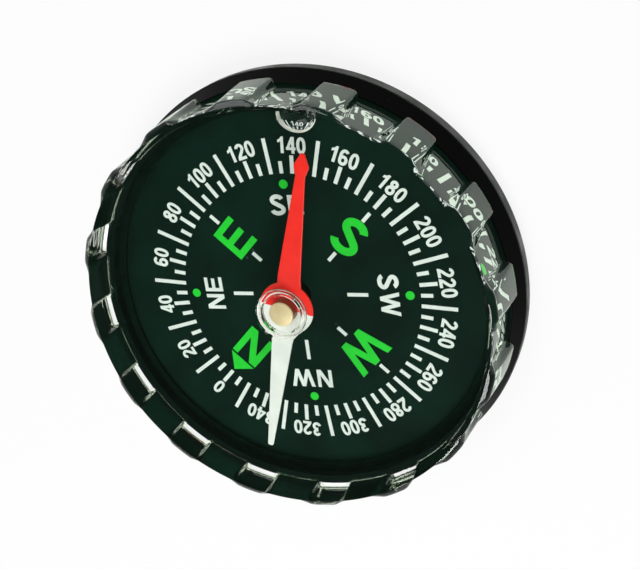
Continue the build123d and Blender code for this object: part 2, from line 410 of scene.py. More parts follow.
def smooth(piece, angle=32.0):
    """Smooth shading with crisp edges, and normals that keep flat faces flat."""
    pick(piece)
    bpy.ops.object.shade_smooth_by_angle(angle=radians(angle))
    apply_modifier(piece, "WEIGHTED_NORMAL", keep_sharp=True, weight=60)


def combine(piece, tool, operation):
    """Cut a tool's shape out of a piece, melt it in or keep what both share, and drop the tool."""
    apply_modifier(piece, "BOOLEAN", operation=operation, solver="EXACT", object=tool)
    bpy.data.objects.remove(tool)


def round_bar(sides, radius, depth, place=(0, 0, 0)):
    """An upright round bar, as a tool for combine."""
    deselect()
    bpy.ops.mesh.primitive_cylinder_add(vertices=sides, radius=radius, depth=depth, location=place)
    return bpy.context.object


def rounded(corner, start, end, radius, steps=4):
    """Points of a quarter-round of an outline's square corner, from its start side to its end side."""
    corner, start, end = Vector(corner), Vector(start), Vector(end)
    to_start = (start - corner).normalized() * radius
    to_end = (end - corner).normalized() * radius
    centre = corner + to_start + to_end
    return [tuple(centre - to_end * cos(pi / 2 * k / steps) - to_start * sin(pi / 2 * k / steps))
            for k in range(steps + 1)]


def at_bearing(bearing, distance):
    """Plan position at a bearing and a distance from the pivot."""
    return distance * sin(bearing), distance * cos(bearing)


def scaled(shade, factor):
    """A colour made lighter or darker."""
    return tuple(min(1.0, channel * factor) for channel in shade)


# Finishes

class Finish:
    """Nodes of one material, with short ways to add and join them."""

    def __init__(self, name):
        self.material = bpy.data.materials.new(name)
        self.material.use_nodes = True
        self.tree = self.material.node_tree
        self.shader = self.tree.nodes["Principled BSDF"]
        self.output = self.tree.nodes["Material Output"]
        self.coords = self.add("ShaderNodeTexCoord").outputs["Object"]

    def add(self, kind, **settings):
        node = self.tree.nodes.new(kind)
        for setting, value in settings.items():
            setattr(node, setting, value)
        return node

    def join(self, source, socket):
        self.tree.links.new(source, socket)

    def set(self, **values):
        for socket, value in values.items():
            self.shader.inputs[socket.replace("_", " ")].default_value = value

    def wire(self, **sources):
        for socket, source in sources.items():
            self.join(source, self.shader.inputs[socket.replace("_", " ")])

    def noise(self, scale, detail=3.0):
        node = self.add("ShaderNodeTexNoise")
        node.inputs["Scale"].default_value = scale
        node.inputs["Detail"].default_value = detail
        self.join(self.coords, node.inputs["Vector"])
        return node.outputs["Fac"]

    def spread(self, value, low, high, from_low=0.35, from_high=0.65):
        node = self.add("ShaderNodeMapRange")
        for socket, number in (("From Min", from_low), ("From Max", from_high),
                               ("To Min", low), ("To Max", high)):
            node.inputs[socket].default_value = number
        self.join(value, node.inputs["Value"])
        return node.outputs["Result"]

    def blend(self, factor, low, high):
        node = self.add("ShaderNodeMix", data_type="RGBA")
        for index, number in ((6, low), (7, high)):
            node.inputs[index].default_value = (*number, 1.0)
        self.join(factor, node.inputs[0])
        return node.outputs[2]

    def mottle(self, scale, detail, shade, dark, light):
        """A colour that wanders between a darker and a lighter tone."""
        tone = self.spread(self.noise(scale, detail), 0.0, 1.0)
        return self.blend(tone, scaled(shade, dark), scaled(shade, light))

    def rays(self, *kinds):
        """1 for the kinds of ray that Light Path names, 0 for others."""
        path = self.add("ShaderNodeLightPath")
        result = path.outputs[kinds[0]]
        for kind in kinds[1:]:
            either = self.add("ShaderNodeMath", operation="MAXIMUM")
            self.join(result, either.inputs[0])
            self.join(path.outputs[kind], either.inputs[1])
            result = either.outputs[0]
        return result

    def mix(self, factor, first, second):
        """One shader over another."""
        node = self.add("ShaderNodeMixShader")
        for socket, source in zip(node.inputs, (factor, first, second)):
            self.join(source, socket)
        return node.outputs["Shader"]

    def bump(self, height, strength, distance):
        node = self.add("ShaderNodeBump")
        node.inputs["Strength"].default_value = strength
        node.inputs["Distance"].default_value = distance
        self.join(height, node.inputs["Height"])
        return node.outputs["Normal"]

    def specks(self, scale, size, share):
        """Sparse round specks of dust: 1 on a speck, 0 elsewhere."""
        cells = self.add("ShaderNodeTexVoronoi", feature="F1")
        cells.inputs["Scale"].default_value = scale
        self.join(self.coords, cells.inputs["Vector"])
        near = self.spread(cells.outputs["Distance"], 1.0, 0.0, size * 0.5, size)
        rare = self.add("ShaderNodeSeparateColor")
        self.join(cells.outputs["Color"], rare.inputs["Color"])
        chosen = self.add("ShaderNodeMath", operation="LESS_THAN")
        chosen.inputs[1].default_value = share
        self.join(rare.outputs["Red"], chosen.inputs[0])
        both = self.add("ShaderNodeMath", operation="MULTIPLY")
        self.join(near, both.inputs[0])
        self.join(chosen.outputs[0], both.inputs[1])
        return both.outputs[0]


def moulded_plastic(name, shade, roughness, specular):
    """Black moulded plastic: uneven gloss, a soft flow pattern and a little dust."""
    finish = Finish(name)
    finish.set(Specular_IOR_Level=specular)
    dust = finish.specks(900.0, 0.16, 0.12)
    finish.wire(Base_Color=finish.blend(dust, shade, scaled(shade, 5.0)),
                Roughness=finish.spread(finish.noise(420.0), roughness * 0.75, roughness * 1.35),
                Normal=finish.bump(finish.noise(1500.0), 0.04, 0.00002))
    return finish.material


def printed_dial(name, shade):
    """Matt green-black dial film with faint mottling and specks in the liquid over it."""
    finish = Finish(name)
    finish.set(Specular_IOR_Level=0.03, Roughness=0.55)
    dusty = finish.add("ShaderNodeMix", data_type="RGBA")
    finish.join(finish.specks(620.0, 0.11, 0.10), dusty.inputs[0])
    finish.join(finish.mottle(160.0, 5.0, shade, 0.75, 1.3), dusty.inputs[6])
    dusty.inputs[7].default_value = DIAL_DUST
    finish.wire(Base_Color=dusty.outputs[2], Normal=finish.bump(finish.noise(2600.0), 0.06, 0.00001))
    return finish.material


def printed_ink(name, shade):
    """Screen-printed ink: slightly uneven cover and a fine grain."""
    finish = Finish(name)
    finish.set(Roughness=0.55, Specular_IOR_Level=0.2)
    finish.wire(Base_Color=finish.mottle(900.0, 4.0, shade, 0.93, 1.03),
                Normal=finish.bump(finish.noise(5200.0), 0.10, 0.000008))
    return finish.material


def sprayed_paint(name, shade):
    """Sprayed paint on the stamped needle: soft gloss with a faint orange peel."""
    finish = Finish(name)
    finish.set(Specular_IOR_Level=0.35)
    finish.wire(Base_Color=finish.mottle(500.0, 3.0, shade, 0.94, 1.02),
                Roughness=finish.spread(finish.noise(700.0), 0.28, 0.40),
                Normal=finish.bump(finish.noise(2400.0), 0.10, 0.00002))
    return finish.material


def turned_metal(name, shade, metallic, roughness):
    """Turned metal with fine tool rings about the pivot axis."""
    finish = Finish(name)
    finish.set(Metallic=metallic)
    rings = finish.add("ShaderNodeTexWave", wave_type="RINGS", rings_direction="Z")
    rings.inputs["Scale"].default_value = 2600.0
    rings.inputs["Distortion"].default_value = 1.2
    finish.join(finish.coords, rings.inputs["Vector"])
    groove = rings.outputs["Fac"]
    finish.wire(Base_Color=finish.mottle(800.0, 4.0, shade, 0.88, 1.06),
                Roughness=finish.spread(groove, roughness * 0.85, roughness * 1.2, 0.0, 1.0),
                Normal=finish.bump(groove, 0.08, 0.00001))
    return finish.material


def soft_rubber(name, shade):
    """Matt black rubber."""
    finish = Finish(name)
    finish.set(Roughness=0.85, Specular_IOR_Level=0.03)
    finish.wire(Base_Color=finish.mottle(600.0, 3.0, shade, 0.8, 1.3),
                Normal=finish.bump(finish.noise(3200.0), 0.2, 0.00002))
    return finish.material


def clear_glass(name, ior, waviness, highlight_cover=None, tint=(1.0, 1.0, 1.0)):
    """Clear moulded piece that refracts, lets the lamps through, and may carry a broken painted highlight: a
    pale matt cover in patches over the glass.
    """
    finish = Finish(name)
    finish.tree.nodes.remove(finish.shader)
    glass = finish.add("ShaderNodeBsdfGlass")
    glass.inputs["IOR"].default_value = ior
    glass.inputs["Roughness"].default_value = 0.0
    glass.inputs["Color"].default_value = (*tint, 1.0)
    finish.join(finish.bump(finish.noise(130.0, 2.0), waviness, 0.0001), glass.inputs["Normal"])
    clear = finish.add("ShaderNodeBsdfTransparent")
    unbent = finish.rays("Is Shadow Ray", "Is Diffuse Ray")
    surface = finish.mix(unbent, glass.outputs["BSDF"], clear.outputs["BSDF"])
    # Painted highlight: a pale diffuse shader mixed over the glass in noisy patches, standing in for light
    # caught at an edge
    if highlight_cover is not None:
        pale = finish.add("ShaderNodeBsdfDiffuse")
        pale.inputs["Color"].default_value = PAINTED_HIGHLIGHT
        cover = finish.spread(finish.noise(700.0, 2.0), *highlight_cover)
        surface = finish.mix(cover, surface, pale.outputs["BSDF"])
    finish.join(surface, finish.output.inputs["Surface"])
    return finish.material


def dress(piece, *materials):
    """Give a piece its materials, in the order of its slots."""
    piece.data.materials.clear()
    for material in materials:
        piece.data.materials.append(material)


def paint(piece, slot, wanted):
    """Give a slot's finish to the faces that pass a test of middle, distance from the pivot and normal."""
    def passes(face):
        middle = face.calc_center_median()
        return wanted(middle, middle.to_2d().length, face.normal)
    edit(piece)
    select_faces(piece, passes)
    piece.active_material_index = slot
    bpy.ops.object.material_slot_assign()
    deselect()


def carry(piece, body, slot, *nodes):
    """Let a piece ride on a body and stand for the CAD nodes named; its slot is not used."""
    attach(piece, body)
    if nodes:
        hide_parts(*nodes)


# Operators

class COMPASS_OT_case(Operator):
    """Turn the black case and finish its plug and seal"""
    bl_idname = "compass.case"
    bl_label = "Case"

    def execute(self, context):
        sizes = context.scene.compass_case
        shades = context.scene.compass_colours
        foot, bore, post = sizes.radius, sizes.radius - sizes.wall, sizes.post_radius
        band_top = sizes.band_height + sizes.band_step
        wall_foot = foot - sizes.band_step
        rim = wall_foot - sizes.wall_draft
        profile = [(0.0, 0.0)]
        profile += rounded((foot, 0), (0, 0), (foot, 1), sizes.foot_round)
        profile += rounded((foot, band_top), (foot, 0), (0, band_top), sizes.band_step * BAND_SOFT, 2)
        profile.append((wall_foot, band_top))
        profile += rounded((rim, sizes.height), (rim, 0), (0, sizes.height), sizes.ledge_round)
        profile += [(bore, sizes.height), (bore, sizes.floor), (post, sizes.floor)]
        profile += rounded((post, sizes.post_height), (post, 0), (0, sizes.post_height), POST_ROUND, 3)
        profile += [(sizes.pin_radius, sizes.post_height), (sizes.pin_radius, sizes.floor / 2),
                    (0.0, sizes.floor / 2)]
        case = lathe("case_cup", profile, CASE_STEPS)
        x, y = at_bearing(sizes.port_bearing, sizes.port_distance)
        for radius, depth in ((sizes.port_radius, 2 * sizes.floor), (sizes.seat_radius, sizes.seat_depth)):
            combine(case, round_bar(HOLE_SIDES, radius, 2 * depth, (x, y, 0)), "DIFFERENCE")
        smooth(case)
        dress(case, moulded_plastic("gloss_black_moulding", shades.case_black, 0.10, 0.025),
              # Foot band: satin gloss, and a lighter black as a painted reflection of the floor
              moulded_plastic("satin_black_foot_painted_reflection", shades.foot_grey, 0.42, 0.29),
              moulded_plastic("wet_black_chamber", shades.chamber_black, 0.5, 0.02))
        paint(case, 2, lambda middle, radius, normal: middle.z > sizes.floor / 4
              and (radius < bore + FINE or middle.z > sizes.height - FINE))
        # The band round the foot gets the satin finish with its painted reflection
        paint(case, 1, lambda middle, radius, normal: middle.z < band_top and radius > bore)
        carry(case, CASE, "case_black", "base_cup")
        dress(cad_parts["fill_plug"], moulded_plastic("plug_black", shades.case_black, 0.35, 0.4))
        dress(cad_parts["cover_seal"], soft_rubber("seal_rubber", shades.seal_black))
        return {"FINISHED"}


class COMPASS_OT_dial(Operator):
    """Finish the dial plate, its scale and its glowing marks"""
    bl_idname = "compass.dial"
    bl_label = "Dial"

    def execute(self, context):
        shades = context.scene.compass_colours
        dress(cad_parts["dial_plate"], printed_dial("dial_film", shades.dial_black))
        dress(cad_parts["scale_marks"], printed_ink("white_print", shades.print_white))
        dress(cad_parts["luminous_marks"], printed_ink("green_print", shades.print_green))
        return {"FINISHED"}


def bent(corner, before, after, reach, steps):
    """Points of a soft bend at a corner between two neighbours."""
    start = corner + (before - corner).normalized() * reach
    end = corner + (after - corner).normalized() * reach
    points = []
    for k in range(steps + 1):
        t = k / steps
        points.append(start * (1 - t) ** 2 + corner * (2 * t * (1 - t)) + end * t ** 2)
    return points


def grip_section(sizes, share, narrow=0.0, inset=0.0, dip_inset=0.0):
    """Plan points of one lobe with half a valley each side, at a share of the way from foot to crown."""
    def between(foot, crown, ease=1.0):
        return foot + (crown - foot) * share ** ease

    def spot(radius, angle):
        return Vector((radius * cos(angle), radius * sin(angle)))
    lobe = between(sizes.foot_radius, sizes.crown_radius) - inset
    valley = between(sizes.foot_valley, sizes.crown_valley) - dip_inset
    half = between(sizes.foot_span, sizes.crown_span, FLARE) / 2 - narrow / lobe
    flank = between(sizes.foot_flank, sizes.crown_flank, FLARE)
    pitch = tau / sizes.lobes
    root = half + flank + narrow / lobe * FLANK_FOLLOWS
    crest, dip, middle = spot(lobe, half), spot(valley, root), spot(valley, pitch / 2)
    side = [spot(lobe, half * LOBE_FLAT * k / 4) for k in range(4)]
    reach = min(between(FOOT_BEND, CROWN_BEND, FLARE), (crest - dip).length * BEND_ON_FLANK,
                lobe * half * BEND_ON_LOBE)
    side += bent(crest, spot(lobe, 0.0), dip, reach, 6)
    side += bent(dip, crest, middle, reach * VALLEY_BEND, 4)
    angle = atan2(side[-1].y, side[-1].x)
    side += [spot(valley, angle + (pitch / 2 - angle) * k / 4) for k in range(1, 5)]
    mirrored = [Vector((point.x, -point.y)) for point in reversed(side[1:])]
    return mirrored + side


def guard_edge(sizes):
    """Size of the small slopes at the needle guard's edges."""
    return (sizes.guard_outer - sizes.guard_inner) / 4


def cover_rows(sizes):
    """Rows of points of one pitch of the cover, from the top's middle round to the ceiling's middle."""
    foot = sizes.lobe_foot
    crown = sizes.top - sizes.crown_round
    rise = crown - foot
    rows = []

    def lobed(height, narrow=0.0, inset=0.0, dip_inset=0.0):
        section = grip_section(sizes, min(1.0, (height - foot) / rise), narrow, inset, dip_inset)
        rows.append([(point.x, point.y, height) for point in section])

    def shoulder(radius, height):
        gap = max(0.0, radius - height)
        return radius - sqrt(radius ** 2 - gap ** 2)

    def round_row(radius, height):
        rows.append([(radius * x / hypot(x, y), radius * y / hypot(x, y), height) for x, y in guide])

    def drawn_in(outline, height, factor):
        rows.append([(x * factor(hypot(x, y)), y * factor(hypot(x, y)), height) for x, y in outline])

    guide = [tuple(point) for point in grip_section(sizes, 1.0)]
    round_row(0.0, sizes.top)
    round_row(sizes.disc_radius - DISC_MARGIN, sizes.top)
    for out, up in CROWN_SLOPE:
        drawn_in(guide, crown + sizes.crown_round * up,
                 lambda radius: out + (1 - out) * sizes.disc_radius / radius)
    for k in range(1, 6):
        lobed(crown - (rise - sizes.foot_corner) * k / 6)
    for k in range(9):
        height = sizes.foot_corner * (1 - sin(pi / 2 * k / 8))
        lobed(foot + height, shoulder(sizes.foot_corner, height), shoulder(sizes.foot_edge, height),
              shoulder(sizes.foot_edge / 2, height))
    guide = [tuple(point) for point in grip_section(sizes, 0.0, sizes.foot_corner)]
    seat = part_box("base_cup")[1].z + sizes.seat_lift
    hem = seal_high.z + sizes.seat_lift
    drawn_in([(x, y) for x, y, z in rows[-1]], foot, lambda radius: min(1.0, sizes.sealed_radius / radius))
    for radius, height in ((sizes.seat_radius, foot), (sizes.seat_radius, seat), (sizes.skirt_radius, seat),
                           (sizes.skirt_radius, hem), (sizes.chamber_radius, hem),
                           (sizes.chamber_radius, foot + 2 * sizes.chamber_round),
                           (sizes.upper_radius, foot + 6 * sizes.chamber_round)):
        round_row(radius, height)
    for k in range(5):
        lean = pi / 2 * k / 4
        round_row(sizes.upper_radius - sizes.chamber_round * (1 - cos(lean)),
                  sizes.chamber_top - sizes.chamber_round * (1 - sin(lean)))
    outer, inner, edge = sizes.guard_outer, sizes.guard_inner, guard_edge(sizes)
    bottom, ceiling = sizes.guard_bottom, sizes.chamber_top
    for radius, height in ((outer + 2 * edge, ceiling), (outer, ceiling - edge), (outer, bottom + edge),
                           (outer - edge, bottom), (inner + edge, bottom), (inner, bottom + edge),
                           (inner, ceiling - edge), (inner - 2 * edge, ceiling), (0.0, ceiling)):
        round_row(radius, height)
    return rows


class COMPASS_OT_cover(Operator):
    """Mould the clear cover: one grip lobe is shaped and copied round, with the chamber inside"""
    bl_idname = "compass.cover"
    bl_label = "Clear cover"

    def execute(self, context):
        sizes = context.scene.compass_cover
        rows = cover_rows(sizes)
        columns = len(rows[0])
        deselect()
        bpy.ops.mesh.primitive_grid_add(x_subdivisions=columns - 1, y_subdivisions=len(rows) - 1, size=MM)
        cover = named(bpy.context.object, "grip_cover")
        for vertex in cover.data.vertices:
            row, column = divmod(vertex.index, columns)
            vertex.co = rows[row][column]
        mesh = edit(cover)
        bpy.ops.mesh.select_all(action="SELECT")
        turn_to_lobe = Matrix.Rotation(pi / 2 - sizes.lobe_bearing, 4, "Z")
        bmesh.ops.transform(mesh, matrix=turn_to_lobe, verts=mesh.verts)
        bpy.ops.mesh.spin(steps=sizes.lobes - 1, dupli=True, angle=tau - tau / sizes.lobes,
                          center=(0, 0, 0), axis=(0, 0, 1))
        close_mesh()
        deselect()
        dress(cover, clear_glass("clear_acrylic_polished", ACRYLIC, WAVY),
              clear_glass("clear_acrylic_sealed", SEALED, 0.0),
              clear_glass("clear_acrylic_ceiling", CEILING, 0.0),
              clear_glass("clear_acrylic_guard", GUARD, WAVY),
              # Slot 4 paints a highlight on the needle guard's lower edge: glass with a pale matt cover in
              # patches
              clear_glass("clear_acrylic_guard_painted_highlight", GUARD, WAVY, GUARD_HIGHLIGHT_COVER),
              clear_glass("clear_acrylic_grip", ACRYLIC, WAVY, tint=context.scene.compass_colours.grip_tint))
        foot, ceiling, guard = sizes.lobe_foot, sizes.chamber_top, sizes.guard_bottom
        below_top = sizes.top - SKIN

        def is_sealed(middle, radius, normal):
            return (middle.z < foot - FINE
                    or radius < sizes.upper_radius + FINE and middle.z < below_top
                    or radius < sizes.sealed_radius and middle.z < foot + FINE)

        def is_ceiling(middle, radius, normal):
            return radius < sizes.upper_radius and ceiling - FINE < middle.z < below_top

        def is_guard(middle, radius, normal):
            return radius < 1.2 * sizes.guard_outer and guard - FINE < middle.z < ceiling - FINE

        # Faces on the guard's lower edge, which get the painted highlight
        def is_guard_edge(middle, radius, normal):
            return is_guard(middle, radius, normal) and guard + FINE < middle.z < guard + guard_edge(sizes)

        def is_grip(middle, radius, normal):
            return (radius > sizes.upper_radius + FINE
                    and foot + FINE < middle.z < sizes.top - sizes.crown_round)
        for slot, wanted in enumerate((is_sealed, is_ceiling, is_guard, is_guard_edge, is_grip), 1):
            paint(cover, slot, wanted)
        smooth(cover, 30.0)
        carry(cover, CASE, "clear_acrylic", "clear_cover")
        return {"FINISHED"}


def place_mesh(piece, matrix):
    """Put a piece in its place and leave its object at the origin."""
    pick(piece)
    piece.matrix_world = matrix
    bpy.ops.object.transform_apply(location=True, rotation=True, scale=True)
    return piece


# Glyphs: cap height 1, drawn from the left end of the base line

def arc(centre, across, along, start, end, steps=16):
    """Points of an oval's arc from one angle to another, in degrees."""
    points = []
    for k in range(steps + 1):
        angle = radians(start + (end - start) * k / steps)
        points.append((centre[0] + across * cos(angle), centre[1] + along * sin(angle)))
    return points


def oval(centre, across, along, squareness=2.0, steps=36):
    """Points of a closed oval, squarer for higher numbers."""
    points = []
    for k in range(steps):
        angle = tau * k / steps
        reach = (abs(cos(angle)) ** squareness + abs(sin(angle)) ** squareness) ** (-1 / squareness)
        points.append((centre[0] + across * reach * cos(angle), centre[1] + along * reach * sin(angle)))
    return points


def pen_stroke(points, pen, ink, closed=False):
    """A stroke of even width along a line."""
    piece = draw_path("stroke", [(x * MM, y * MM, -ink / 2) for x, y in points], closed)
    bpy.ops.mesh.extrude_region_move(TRANSFORM_OT_translate={"value": (0, 0, ink)})
    bpy.ops.mesh.select_all(action="SELECT")
    bpy.ops.mesh.normals_make_consistent(inside=False)
    deselect()
    return apply_modifier(piece, "SOLIDIFY", thickness=pen * MM, offset=0.0, use_even_offset=True)


def cut_sheet(points, ink):
    """A flat shape inside an outline."""
    piece = draw_path("sheet", [(x * MM, y * MM, 0.0) for x, y in points], True)
    bpy.ops.mesh.edge_face_add()
    deselect()
    return apply_modifier(piece, "SOLIDIFY", thickness=ink, offset=0.0)


def slanted(top, bottom, breadth):
    """Outline of a slanting stroke cut level at the cap line and the base line."""
    return [(bottom, 0.0), (bottom + breadth, 0.0), (top + breadth, 1.0), (top, 1.0)]


def glyph_parts(letter, pen):
    """Strokes, rings and sheets that make up a glyph, and its width."""
    edge = pen / 2
    bar = 1.1 * pen
    if letter == "0":
        return [("ring", oval((0.285, 0.5), 0.285 - edge, 0.5 - edge, 2.3))], 0.57
    if letter == "1":
        return [("sheet", [(0.44, 0.0), (0.44, 1.0), (0.31, 1.0), (0.22, 0.87), (0.07, 0.79), (0.07, 0.63),
                           (0.17, 0.66), (0.255, 0.71), (0.255, 0.0)])], 0.5
    if letter == "2":
        hook = arc((0.285, 0.71), 0.285 - edge, 0.29 - edge, 172, -28, 18)
        return [("stroke", hook + [(0.36, 0.47), (0.20, 0.29), (0.115, 0.15)]),
                ("sheet", [(0.0, 0.0), (0.57, 0.0), (0.57, pen), (0.02, pen)])], 0.57
    if letter == "3":
        upper = arc((0.275, 0.74), 0.25 - edge, 0.26 - edge, 168, -90, 18)
        lower = arc((0.275, 0.29), 0.29 - edge, 0.29 - edge, 90, -168, 20)
        return [("stroke", upper + [(0.19, 0.572)]), ("stroke", [(0.19, 0.4875)] + lower)], 0.57
    if letter == "4":
        return [("sheet", [(0.33, 0.0), (0.33 + pen, 0.0), (0.33 + pen, 1.0), (0.33, 1.0)]),
                ("sheet", [(0.0, 0.21), (0.59, 0.21), (0.59, 0.37), (0.0, 0.37)]),
                ("sheet", [(0.0, 0.30), (0.17, 0.30), (0.33 + pen, 1.0), (0.32, 1.0)])], 0.59
    if letter == "6":
        back = [(edge, 0.30), (edge, 0.48)] + arc((0.30, 0.64), 0.30 - edge, 0.36 - edge, 180, 38, 14)
        return [("ring", oval((0.285, 0.31), 0.285 - edge, 0.31 - edge, 2.1)), ("stroke", back)], 0.57
    if letter == "8":
        return [("ring", oval((0.285, 0.745), 0.25 - edge, 0.255 - edge, 2.1)),
                ("ring", oval((0.285, 0.295), 0.285 - edge, 0.295 - edge, 2.1))], 0.57
    if letter == "N":
        return [("sheet", [(0.0, 0.0), (pen, 0.0), (pen, 1.0), (0.0, 1.0)]),
                ("sheet", [(0.82 - pen, 0.0), (0.82, 0.0), (0.82, 1.0), (0.82 - pen, 1.0)]),
                ("sheet", slanted(0.0, 0.82 - 1.25 * pen, 1.25 * pen))], 0.82
    if letter == "E":
        middle = 0.51
        return [("sheet", [(0.0, 0.0), (0.79, 0.0), (0.79, pen), (pen, pen), (pen, middle - edge),
                           (0.72, middle - edge), (0.72, middle + edge), (pen, middle + edge), (pen, 1 - pen),
                           (0.77, 1 - pen), (0.77, 1.0), (0.0, 1.0)])], 0.79
    if letter == "S":
        edge *= HEAVY
        upper = arc((0.40, 0.755), 0.37 - edge, 0.295 - edge, 14, 235, 20)
        lower = arc((0.40, 0.265), 0.405 - edge, 0.31 - edge, 55, -168, 20)
        return [("heavy", upper + lower)], 0.80
    if letter == "W":
        return [("sheet", slanted(0.0, 0.25, bar)), ("sheet", slanted(0.535, 0.25, bar)),
                ("sheet", slanted(0.535, 0.82, bar)), ("sheet", slanted(1.07, 0.82, bar))], 1.07 + bar
    raise ValueError("no drawing for glyph " + letter)


def draw_glyph(letter, pen, ink):
    """Model one glyph and give its width."""
    parts, width = glyph_parts(letter, pen)
    glyph = None
    for kind, points in parts:
        if kind == "sheet":
            part = cut_sheet(points, ink)
        else:
            part = pen_stroke(points, pen * HEAVY if kind == "heavy" else pen, ink, kind == "ring")
        edit(part)
        close_mesh()
        deselect()
        if glyph is None:
            glyph = part
        else:
            combine(glyph, part, "UNION")
    return named(glyph, "glyph_" + letter), width


def letter_words(name, words, height, pen, ink, advance=None, gap=0.0):
    """Set words round the dial, tops outwards: rows of (word, bearing, distance), joined into one piece."""
    drawn = {}
    for letter in sorted({letter for word, bearing, distance in words for letter in word}):
        drawn[letter] = draw_glyph(letter, pen, ink)
    level = dial_high.z + ink / 2
    copies = []
    for word, bearing, distance in words:
        widths = [drawn[letter][1] for letter in word]
        if advance is not None:
            starts = [(k - (len(word) - 1) / 2) * advance - width / 2 for k, width in enumerate(widths)]
        else:
            total = sum(widths) + gap * (len(word) - 1)
            starts = [sum(widths[:k]) + gap * k - total / 2 for k in range(len(word))]
        for letter, start in zip(word, starts):
            glyph = drawn[letter][0]
            copy = bpy.data.objects.new(name, glyph.data.copy())
            bpy.context.collection.objects.link(copy)
            place_mesh(copy, Matrix.Rotation(-bearing, 4, "Z")
                       @ Matrix.Translation((start * height, distance - height / 2, level))
                       @ Matrix.Diagonal((height / MM, height / MM, 1.0, 1.0)))
            copies.append(copy)
    for glyph, width in drawn.values():
        bpy.data.objects.remove(glyph)
    pick(*copies)
    bpy.ops.object.join()
    return named(bpy.context.object, name)


class COMPASS_OT_numerals(Operator):
    """Print the degree numerals round the scale"""
    bl_idname = "compass.numerals"
    bl_label = "Degree numerals"

    def execute(self, context):
        sizes = context.scene.compass_print
        words = [(str(degrees), radians(degrees), sizes.numeral_radius)
                 for degrees in range(0, 360, sizes.numeral_step)]
        numerals = letter_words("degree_numerals", words, sizes.numeral_height, sizes.pen, sizes.ink,
                                sizes.numeral_advance)
        dress(numerals, printed_ink("white_numeral_print", context.scene.compass_colours.print_white))
        carry(numerals, CASE, "white_ink")
        return {"FINISHED"}


class COMPASS_OT_letters(Operator):
    """Print the glowing cardinal letters and the white letter pairs between them"""
    bl_idname = "compass.letters"
    bl_label = "Compass letters"

    def execute(self, context):
        sizes = context.scene.compass_print
        shades = context.scene.compass_colours
        words = [(word, radians(90.0 * k), sizes.cardinal_radius) for k, word in enumerate("NESW")]
        cardinals = letter_words("cardinal_letters", words, sizes.cardinal_height, sizes.pen, sizes.ink)
        dress(cardinals, printed_ink("green_letter_print", shades.print_green))
        carry(cardinals, CASE, "green_ink")
        words = [(word, radians(45.0 + 90.0 * k), sizes.between_radius)
                 for k, word in enumerate(("NE", "SE", "SW", "NW"))]
        pairs = letter_words("intercardinal_letters", words, sizes.between_height, sizes.pen, sizes.ink,
                             gap=sizes.letter_gap)
        dress(pairs, printed_ink("white_letter_print", shades.print_white))
        carry(pairs, CASE, "white_ink")
        return {"FINISHED"}


def needle_side(sizes):
    """Outline of the needle's left side along +X, from its tip over the hub to its tail's end."""
    reach, tip, head, arm = sizes.reach, sizes.tip_width, sizes.head_width, sizes.arm_neck
    hub, tail, end = sizes.hub_radius, sizes.tail, sizes.tail_end
    neck, widest = reach - sizes.head_length, reach - sizes.head_shoulder
    points = [(reach, 0.35 * tip), (reach - 0.1 * tip, 0.44 * tip), (reach - 0.4 * tip, 0.55 * tip),
              (widest + HEAD_SOFT, 0.49 * head), (widest, head / 2), (widest - HEAD_SOFT, 0.485 * head),
              (neck + NECK_SOFT, 0.56 * arm), (neck, arm / 2)]
    root, tail_root = ROOT_AT_HUB * sizes.arm_root, ROOT_AT_HUB * sizes.tail_root
    first = atan2(root, sqrt(hub ** 2 - root ** 2))
    last = pi - atan2(tail_root, sqrt(hub ** 2 - tail_root ** 2))
    for k in range(HUB_STEPS + 1):
        angle = first + (last - first) * k / HUB_STEPS
        points.append((hub * cos(angle), hub * sin(angle)))
    points += [(-tail + 0.3 * end, end / 2), (-tail + 0.08 * end, 0.42 * end), (-tail, 0.25 * end)]
    return points


class COMPASS_OT_needle(Operator):
    """Stamp the needle's blade, step its arms up from the hub and paint one arm red, the other white"""
    bl_idname = "compass.needle"
    bl_label = "Needle"

    def execute(self, context):
        sizes = context.scene.compass_needle
        shades = context.scene.compass_colours
        side = needle_side(sizes)
        outline = side + [(x, -y) for x, y in reversed(side)]
        blade = draw_path("painted_needle", [(x, y, 0.0) for x, y in outline], True)
        bpy.ops.mesh.edge_face_add()
        ramp = sizes.hub_radius + sizes.arm_ramp
        fold = sizes.hub_radius * HUB_FOLD
        for place in (-ramp, -fold, 0.0, fold, ramp):
            bpy.ops.mesh.select_all(action="SELECT")
            bpy.ops.mesh.bisect(plane_co=(place, 0, 0), plane_no=(1, 0, 0))
        bpy.ops.mesh.select_all(action="DESELECT")
        bpy.ops.mesh.select_mode(type="VERT")
        mesh = bmesh.from_edit_mesh(blade.data)
        for vertex in mesh.verts:
            vertex.select_set(abs(vertex.co.x) > ramp - 10 * FINE)
        bpy.ops.transform.translate(value=(0, 0, sizes.arm_lift))
        bpy.ops.mesh.select_all(action="SELECT")
        bpy.ops.mesh.normals_make_consistent(inside=False)
        deselect()
        if blade.data.polygons[0].normal.z < 0:
            edit(blade)
            bpy.ops.mesh.select_all(action="SELECT")
            bpy.ops.mesh.flip_normals()
            deselect()
        apply_modifier(blade, "SOLIDIFY", thickness=sizes.thickness, offset=1.0)
        bore = round_bar(HOLE_SIDES, sizes.cap_neck + NECK_PLAY, 4 * sizes.thickness)
        combine(blade, bore, "DIFFERENCE")
        apply_modifier(blade, "BEVEL", width=sizes.edge_round, segments=2, limit_method="ANGLE",
                       angle_limit=BEVEL_ANGLE)
        dress(blade, sprayed_paint("needle_red_paint", shades.needle_red),
              sprayed_paint("needle_white_paint", shades.needle_white))
        paint(blade, 1, lambda middle, radius, normal: middle.x < 0)
        place_mesh(blade, Matrix.Translation((0, 0, sizes.hub_bottom))
                   @ Matrix.Rotation(pi / 2 - sizes.bearing, 4, "Z"))
        smooth(blade)
        carry(blade, NEEDLE, "needle_paint", "needle_blade")
        return {"FINISHED"}


